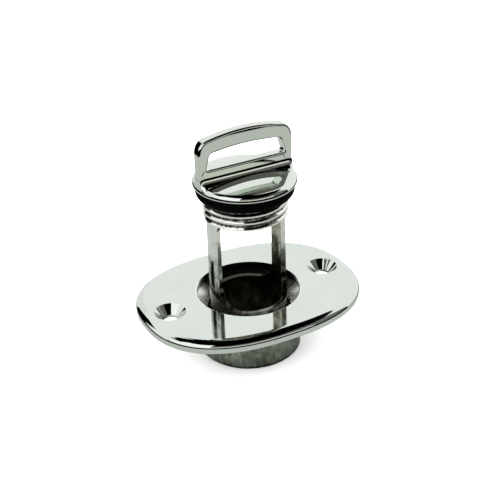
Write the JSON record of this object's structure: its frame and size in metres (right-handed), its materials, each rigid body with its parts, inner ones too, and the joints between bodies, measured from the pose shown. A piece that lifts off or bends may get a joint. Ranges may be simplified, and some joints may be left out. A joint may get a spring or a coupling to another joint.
{
  "type": "captive garboard drain plug fitting",
  "caption": "Oval flanged thru-hull drain with a short barrel and a captive screw plug: grip tab, sealing ring, threaded neck and windowed sleeve that lifts to drain.",
  "frame": {"origin": "centre of the barrel's end face, on the axis of the bore, where the fitting stands", "axes": "+X along the flange's long axis through both screw holes, +Y across the flange, +Z along the bore towards the plug's tab"},
  "size_m": [0.0736, 0.057, 0.0777],
  "materials": {
    "housing_steel": "mirror polished flange and seat, dull cast barrel",
    "plug_steel": "polished head and tab, satin cage, cast thread",
    "seal_rubber": "smooth black nitrile",
    "ring_steel": "plain spring stainless"
  },
  "bodies": {
    "housing": {"flange_housing": "housing_steel"},
    "retainer": {"retaining_ring": "ring_steel"},
    "plug": {"plug_body": "plug_steel", "o_ring": "seal_rubber"}
  },
  "joints": [
    {"name": "plug_slide", "type": "slide", "parent": "housing", "child": "retainer", "axis": [0, 0, 1], "range_m": [-0.0393, 0.0015]},
    {"name": "plug_turn", "type": "hinge", "parent": "retainer", "child": "plug", "pos_m": [0, 0, 0.0023], "axis": [0, 0, 1], "continuous": true}
  ]
}
